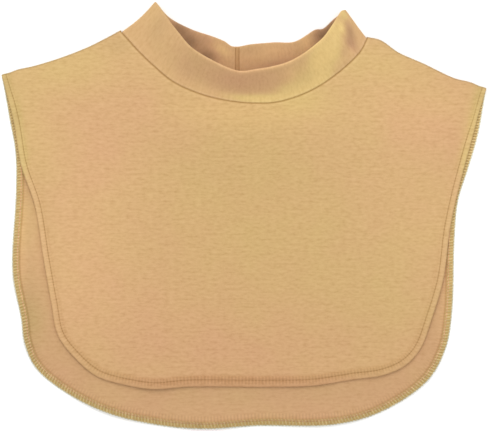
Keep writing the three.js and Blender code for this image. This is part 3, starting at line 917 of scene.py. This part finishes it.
def jersey(name, shade, gold_share, dash_contrast, up_the_cloth, marks):
    """Fine cotton jersey, knitted, piece-dyed and brushed soft. It is matt with a short fuzz, so
    light spreads evenly over it. Its face shows short level dashes where rows of loops differ,
    drawn about three times as coarse as the loops so that they show, and its camel dye drifts
    between rosy and golden. Painted light and shade from the zones lighten and darken it, painted
    shade darkens its edges where they turn down into the neck seam, with a painted highlight just
    beyond, and the marks of its seams and borders add their own painted shade and highlights."""
    colours = bpy.context.scene.dickey_colours
    cloth = bpy.context.scene.dickey_cloth
    material, tree, shader = new_material(name)
    place = node(tree, "TexCoord", output="Object")
    knit = node(tree, "UVMap", uv_map="cloth") if up_the_cloth else place
    seams = node(tree, "Attribute", attribute_name="seams", output="Vector")
    tint_and_painted_light = node(tree, "Attribute", attribute_name="tint_and_painted_light", output="Vector")
    neck = node(tree, "SeparateXYZ", {"Vector": seams}, output="Z")
    gold, light = (
        node(tree, "SeparateXYZ", {"Vector": tint_and_painted_light}, output=axis) for axis in "XY"
    )

    drift = node(
        tree, "TexNoise", {"Vector": place},
        {"Scale": 1 / DYE_PATCH, "Detail": 3.0, "Roughness": 0.55},
    )
    drift = node(
        tree, "Math", {0: drift}, {1: DRIFT_SPREAD, 2: gold_share - DRIFT_SPREAD / 2},
        operation="MULTIPLY_ADD",
    )
    drift = node(tree, "Math", {0: drift, 1: gold}, operation="ADD", use_clamp=True)
    colour = node(
        tree, "Mix", {0: drift},
        {6: (*[c * shade for c in colours.rosy], 1), 7: (*[c * shade for c in colours.golden], 1)},
        data_type="RGBA",
    )

    dashes = []
    for length in (cloth.dash_length, 4 * cloth.dash_length):
        across = [1 / length, 1 / cloth.dash_height]
        squeezed = node(
            tree, "Mapping", {"Vector": knit},
            {"Scale": (*(across[::-1] if up_the_cloth else across), 1)},
        )
        dashes.append(
            node(
                tree, "TexNoise", {"Vector": squeezed},
                {"Scale": 1.0, "Detail": 3.0, "Roughness": 0.6},
            )
        )
    dashed = node(tree, "Mix", {2: dashes[0], 3: dashes[1]}, {0: 0.35}, data_type="FLOAT")
    dash_tone = node(
        tree, "ValToRGB", {"Fac": dashed},
        stops=((0.3, 1 - 0.14 * dash_contrast), (0.5, 1.0), (0.7, 1 + 0.09 * dash_contrast)),
    )
    colour = node(tree, "Mix", {6: colour, 7: dash_tone}, {0: 1.0}, **MULTIPLY)
    # Painted light and shade: the zones' light and the shoulders' rolled edges multiply the colour
    # by one plus it.
    light = node(tree, "Math", {0: light}, {1: 1.0}, operation="ADD")
    colour = node(tree, "Mix", {6: colour, 7: light}, {0: 1.0}, **MULTIPLY)
    # Painted shade in the neck seam and a painted highlight beside it.
    near = node(tree, "Math", {0: neck}, {1: NECK_SHADE_REACH}, operation="DIVIDE", use_clamp=True)
    neck_shade_and_highlight = node(
        tree, "ValToRGB", {"Fac": near},
        stops=((0.0, 0.72), (0.1, 0.8), (0.22, 1.0), (0.4, 1.06), (1.0, 1.0)),
    )
    colour = node(tree, "Mix", {6: colour, 7: neck_shade_and_highlight}, {0: 1.0}, **MULTIPLY)

    fuzz = node(tree, "TexNoise", {"Vector": knit}, {"Scale": 1 / FUZZ_GRAIN, "Detail": 2.0})
    relief = node(tree, "Math", {0: fuzz, 1: dashed}, operation="ADD")
    tone, tick = marks(tree, seams, tint_and_painted_light)
    colour = node(tree, "Mix", {6: colour, 7: tone}, {0: 1.0}, **MULTIPLY)
    if tick:
        relief = node(tree, "Math", {0: tick, 2: relief}, {1: 0.6}, operation="MULTIPLY_ADD")
    bump = node(tree, "Bump", {"Height": relief}, {"Strength": 0.4, "Distance": 0.14 * MM})
    tree.links.new(colour, shader.inputs["Base Color"])
    tree.links.new(bump, shader.inputs["Normal"])
    shader.inputs["Roughness"].default_value = 0.9
    shader.inputs["Specular IOR Level"].default_value = 0.18
    shader.inputs["Sheen Weight"].default_value = 0.1
    shader.inputs["Sheen Roughness"].default_value = 0.5
    return material


def border_marks(side_shading, bottom_shading):
    """Marks of a stitched border: painted shade and painted highlights across it, and a tick that
    each stitch presses in, which also darkens the colour as painted shade.
    """

    def marks(tree, seams, tint_and_painted_light):
        stitch, border = (
            node(tree, "SeparateXYZ", {"Vector": seams}, output=axis) for axis in "XY"
        )
        bottom = node(tree, "SeparateXYZ", {"Vector": tint_and_painted_light}, output="Z")
        share = node(
            tree, "Math", {0: border}, {1: RAMP_SPAN}, operation="DIVIDE", use_clamp=True,
        )
        side, low = (
            node(
                tree, "ValToRGB", {"Fac": share},
                stops=[(stop.inset / RAMP_SPAN, stop.tone) for stop in tones],
            )
            for tones in (side_shading, bottom_shading)
        )
        tone = node(tree, "Mix", {0: bottom, 6: side, 7: low}, data_type="RGBA")
        turn = node(tree, "Math", {0: stitch}, {1: 2 * math.pi}, operation="MULTIPLY")
        tick = node(tree, "Math", {0: turn}, operation="COSINE")
        band = node(
            tree, "ValToRGB", {"Fac": share},
            stops=((0.0, 0), (0.12, 0), (0.22, 1), (0.75, 1), (0.85, 0), (1.0, 0)),
        )
        tick = node(tree, "Math", {0: tick, 1: band}, operation="MULTIPLY")
        # Painted shade: each stitch's tick also darkens the colour a little, more along the bottom.
        strength = node(tree, "Math", {0: bottom}, {1: 0.05, 2: 0.025}, operation="MULTIPLY_ADD")
        ticked = node(tree, "Math", {0: tick, 1: strength}, {2: 1.0}, operation="MULTIPLY_ADD")
        tone = node(tree, "Mix", {6: tone, 7: ticked}, {0: 1.0}, **MULTIPLY)
        return tone, tick

    return marks


def back_seam_marks(tree, seams, tint_and_painted_light):
    """Painted shade in the two pressed lines of the centre back seam inside the collar."""
    across = node(tree, "SeparateXYZ", {"Vector": seams}, output="X")
    away = node(tree, "Math", {0: across}, operation="ABSOLUTE")
    away = node(tree, "Math", {0: away}, {1: BACK_SEAM_REACH}, operation="DIVIDE", use_clamp=True)
    tone = node(
        tree, "ValToRGB", {"Fac": away},
        stops=((0.0, 0.86), (0.3, 0.84), (0.46, 0.68), (0.58, 0.74), (0.8, 1.0)),
    )
    return tone, None


def thread(name, colour):
    """Spun polyester sewing thread, twisted and matt: soft, with slightly darker flecks where
    the plies turn away. The flecks are drawn as coarse as one stitch."""
    material, tree, shader = new_material(name)
    place = node(tree, "TexCoord", output="Object")
    fine = {"Scale": 1 / (2.1 * MM), "Detail": 2.0}
    fleck = node(tree, "TexNoise", {"Vector": place}, fine)
    tone = node(tree, "ValToRGB", {"Fac": fleck}, stops=((0.3, 0.84), (0.7, 1.08)))
    own = node(tree, "Attribute", attribute_name="tone", output="Fac")
    tone = node(tree, "Mix", {6: tone, 7: own}, {0: 1.0}, **MULTIPLY)
    mixed = node(tree, "Mix", {7: tone}, {0: 1.0, 6: (*colour, 1)}, **MULTIPLY)
    tree.links.new(mixed, shader.inputs["Base Color"])
    shader.inputs["Roughness"].default_value = 0.8
    shader.inputs["Specular IOR Level"].default_value = 0.2
    return material


class DICKEY_OT_back_bib(bpy.types.Operator):
    """Models the back bib, which lies underneath"""

    bl_idname = "dickey.back_bib"
    bl_label = "Back Bib"

    def execute(self, context):
        bib = Bib(
            seam=BACK_SEAM, rim=BACK_RIM, width=overlock_width, section=OVERLOCK_SECTION,
            rest=BACK_REST, settle=np.zeros_like, creases=BACK_CREASES, zones=BACK_ZONES,
            border_gold=0.8, columns=420, rows=60, section_rows=16, dive=0.3 * MM, roll=0, waves=0,
        )
        sheet = bib_cloth("back_bib_cloth", bib)
        marks = border_marks(OVERLOCK_PAINTED_SHADING, BOTTOM_OVERLOCK_PAINTED_SHADING)
        # The wrong side of the jersey is rosier and darker: partly its own colour, partly painted
        # shade from the front bib lying over it.
        sheet.data.materials.append(jersey("jersey_wrong_side", 0.925, 0.15, 0.8, False, marks))
        ride_as(sheet, "back_jersey", "back_bib")
        return {"FINISHED"}


class DICKEY_OT_front_bib(bpy.types.Operator):
    """Models the front bib with its turned hem"""

    bl_idname = "dickey.front_bib"
    bl_label = "Front Bib"

    def execute(self, context):
        bib = Bib(
            seam=FRONT_SEAM, rim=FRONT_RIM, width=front_hem_width, section=HEM_SECTION,
            rest=FRONT_REST, settle=settled, creases=FRONT_CREASES, zones=FRONT_ZONES,
            border_gold=0, columns=400, rows=62, section_rows=36, dive=0.45 * MM, roll=1.1 * MM,
            waves=0.3 * MM,
        )
        sheet = bib_cloth("front_bib_cloth", bib)
        marks = border_marks(HEM_PAINTED_SHADING, BOTTOM_HEM_PAINTED_SHADING)
        sheet.data.materials.append(jersey("jersey_right_side", 1.0, 0.45, 1.0, False, marks))
        ride_as(sheet, "front_jersey", "front_bib")
        return {"FINISHED"}


class DICKEY_OT_collar(bpy.types.Operator):
    """Models the collar band, folded double"""

    bl_idname = "dickey.collar"
    bl_label = "Collar Band"

    def execute(self, context):
        sheet = collar_cloth("collar_band_cloth")
        sheet.data.materials.append(jersey("jersey_collar", 1.0, 0.4, 0.7, True, back_seam_marks))
        ride_as(sheet, "band_jersey", "collar_band")
        return {"FINISHED"}


class DICKEY_OT_topstitching(bpy.types.Operator):
    """Sews the line of topstitching that holds the front hem"""

    bl_idname = "dickey.topstitching"
    bl_label = "Topstitching"

    def execute(self, context):
        scene = context.scene
        shares = stitch_shares(FRONT_RIM)
        cloth = scene.dickey_cloth.thickness
        height = FRONT_REST + 1.5 * cloth + FRONT_RIM.at(shares)[:, 2] - settled(shares)
        origins, axes = rim_frames(FRONT_RIM, shares, front_hem_width(shares), height)
        half = 0.4 * scene.dickey_stitches.side_pitch
        stitch = thread_piece(
            [(-half, 0, -0.35 * MM), (-0.7 * half, 0, 0), (0, 0, 0.1 * MM), (0.7 * half, 0, 0),
             (half, 0, -0.35 * MM)],
            scene.dickey_stitches.thread_radius,
        )
        piece = laid_copies("hem_topstitching", stitch, origins, axes, np.ones(len(shares)))
        piece.data.materials.append(thread("topstitch_thread", scene.dickey_colours.topstitch))
        ride_as(piece, "front_jersey")
        return {"FINISHED"}


LOOPER_RADIUS = 0.4 * MM
BEAD_RADIUS = 0.5 * MM
BOTTOM_SHADE = 0.18  # how much darker the floss looks along the bottom
BEAD_SHADE = 0.22
# Painted light that lifts the floss below the right tip out of the shadow of the front's rim.
RIGHT_PAINTED_LIGHT = 0.25  # how much lighter it looks below the right tip
RIGHT_PAINTED_LIGHT_REACH = 0.13


class DICKEY_OT_overlock(bpy.types.Operator):
    """Sews the overlock stitches round the back bib's cut edge"""

    bl_idname = "dickey.overlock"
    bl_label = "Overlocking"

    def execute(self, context):
        scene = context.scene
        stitches = scene.dickey_stitches
        width = scene.dickey_cloth.overlock_width
        shares = stitch_shares(BACK_RIM)
        on_rim = np.zeros(len(shares))
        origins, axes = rim_frames(BACK_RIM, shares, on_rim, BACK_RIM.at(shares)[:, 2])
        step = stitches.side_pitch
        random = np.random.default_rng(stitches.seed)
        axes[:, 1] *= random.uniform(0.96, 1.04, len(shares))[:, None]
        axes[:, 2] *= random.uniform(0.95, 1.04, len(shares))[:, None]
        tones = random.uniform(0.94, 1.06, len(shares)) * (1 - BOTTOM_SHADE * at_bottom(shares))
        tones *= 1 + RIGHT_PAINTED_LIGHT * bell((1 - shares) / RIGHT_PAINTED_LIGHT_REACH)

        flat = 0.95 * MM
        rung = thread_piece(
            [
                (-0.2 * step, 0.78 * width, flat - 0.3 * MM),
                (-0.14 * step, 0.66 * width, flat),
                (0, 0.4 * width, flat + 0.08 * MM),
                (0.1 * step, 0.14 * width, flat),
                (0.14 * step, -0.02 * MM, flat - 0.4 * MM),
            ],
            stitches.floss_radius,
        )
        edge = thread_piece(
            [
                (-0.5 * step, 0.3 * MM, flat),
                (-0.1 * step, -0.1 * MM, flat - 0.05 * MM),
                (0.2 * step, -0.1 * MM, flat + 0.05 * MM),
                (0.55 * step, 0.35 * MM, flat),
            ],
            LOOPER_RADIUS,
        )
        bead = thread_piece(
            [
                (-0.36 * step, 0.66 * width, flat + 0.2 * MM),
                (0, 0.63 * width, flat + 0.5 * MM),
                (0.36 * step, 0.66 * width, flat + 0.2 * MM),
            ],
            BEAD_RADIUS,
        )
        floss = thread("overlock_floss", scene.dickey_colours.floss)
        olive = thread("edge_floss", scene.dickey_colours.edge_floss)
        rosy = thread("needle_thread", scene.dickey_colours.needle_thread)
        for name, stitch, material, shade in (
            ("overlock_rungs", rung, floss, 1),
            ("overlock_chain", edge, olive, 1),
            ("overlock_needle_row", bead, rosy, 1 - BEAD_SHADE * at_bottom(shares)),
        ):
            piece = laid_copies(name, stitch, origins, axes, tones * shade)
            piece.data.materials.append(material)
            ride_as(piece, "back_jersey")
        return {"FINISHED"}


PHOTO_WIDTH = 488
PIXEL = 0.84 * MM
CAMERA_HEIGHT = 2.0


class DICKEY_OT_stage(bpy.types.Operator):
    """Sets up the pale table, the soft light and the camera straight above"""

    bl_idname = "dickey.stage"
    bl_label = "Stage"

    def execute(self, context):
        bpy.ops.object.select_all(action="DESELECT")
        bpy.ops.mesh.primitive_plane_add(size=6)
        table = context.object
        table.name = "table"
        material, tree, shader = new_material("white_laminate")
        shader.inputs["Base Color"].default_value = (*context.scene.dickey_colours.table, 1)
        shader.inputs["Roughness"].default_value = 0.85
        shader.inputs["Specular IOR Level"].default_value = 0.1
        table.data.materials.append(material)

        world = bpy.data.worlds.new("soft_room")
        world.use_nodes = True
        background = world.node_tree.nodes["Background"]
        background.inputs["Color"].default_value = (1, 1, 1, 1)
        background.inputs["Strength"].default_value = 1.0
        context.scene.world = world
        for name, place, power, size in (
            ("window_softbox", (-0.35, 1.3, 1.4), 12, 1.2),
            ("fill_softbox", (0.5, 0.3, 2.2), 5, 1.6),
        ):
            bpy.ops.object.light_add(type="AREA", location=place)
            light = context.object
            light.name = name
            light.data.energy = power
            light.data.size = size
            x, y, z = place
            light.rotation_euler = (math.atan2(math.hypot(x, y), z), 0, math.atan2(x, -y))

        bpy.ops.object.camera_add(location=(0, 0, CAMERA_HEIGHT), rotation=(0, 0, 0))
        camera = context.object
        camera.data.sensor_width = 36
        camera.data.lens = camera.data.sensor_width * CAMERA_HEIGHT / (PHOTO_WIDTH * PIXEL)
        camera.data.clip_end = 20
        context.scene.camera = camera
        context.scene.view_settings.view_transform = "Standard"
        return {"FINISHED"}


class DICKEY_PT_panel(bpy.types.Panel):
    """Lists the dickey's sizes, its colours and its pieces"""

    bl_idname = "DICKEY_PT_panel"
    bl_label = "Dickey"
    bl_space_type = "VIEW_3D"
    bl_region_type = "UI"
    bl_category = "Dickey"

    def draw(self, context):
        for key, group in GROUPS.items():
            box = self.layout.box()
            for name in group.__annotations__:
                box.prop(getattr(context.scene, key), name)
        for operator in OPERATORS:
            self.layout.operator(operator.bl_idname)


GROUPS = {
    "dickey_cloth": DickeyCloth,
    "dickey_stitches": DickeyStitches,
    "dickey_colours": DickeyColours,
}
OPERATORS = (
    DICKEY_OT_back_bib,
    DICKEY_OT_front_bib,
    DICKEY_OT_collar,
    DICKEY_OT_topstitching,
    DICKEY_OT_overlock,
    DICKEY_OT_stage,
)
CLASSES = (*GROUPS.values(), *OPERATORS, DICKEY_PT_panel)


def register():
    for cls in CLASSES:
        bpy.utils.register_class(cls)
    for name, group in GROUPS.items():
        setattr(bpy.types.Scene, name, PointerProperty(type=group))


def unregister():
    for name in GROUPS:
        delattr(bpy.types.Scene, name)
    for cls in reversed(CLASSES):
        bpy.utils.unregister_class(cls)


def main():
    register()
    bpy.ops.dickey.back_bib()
    bpy.ops.dickey.front_bib()
    bpy.ops.dickey.collar()
    bpy.ops.dickey.topstitching()
    bpy.ops.dickey.overlock()
    bpy.ops.dickey.stage()


if __name__ == "__main__":
    main()
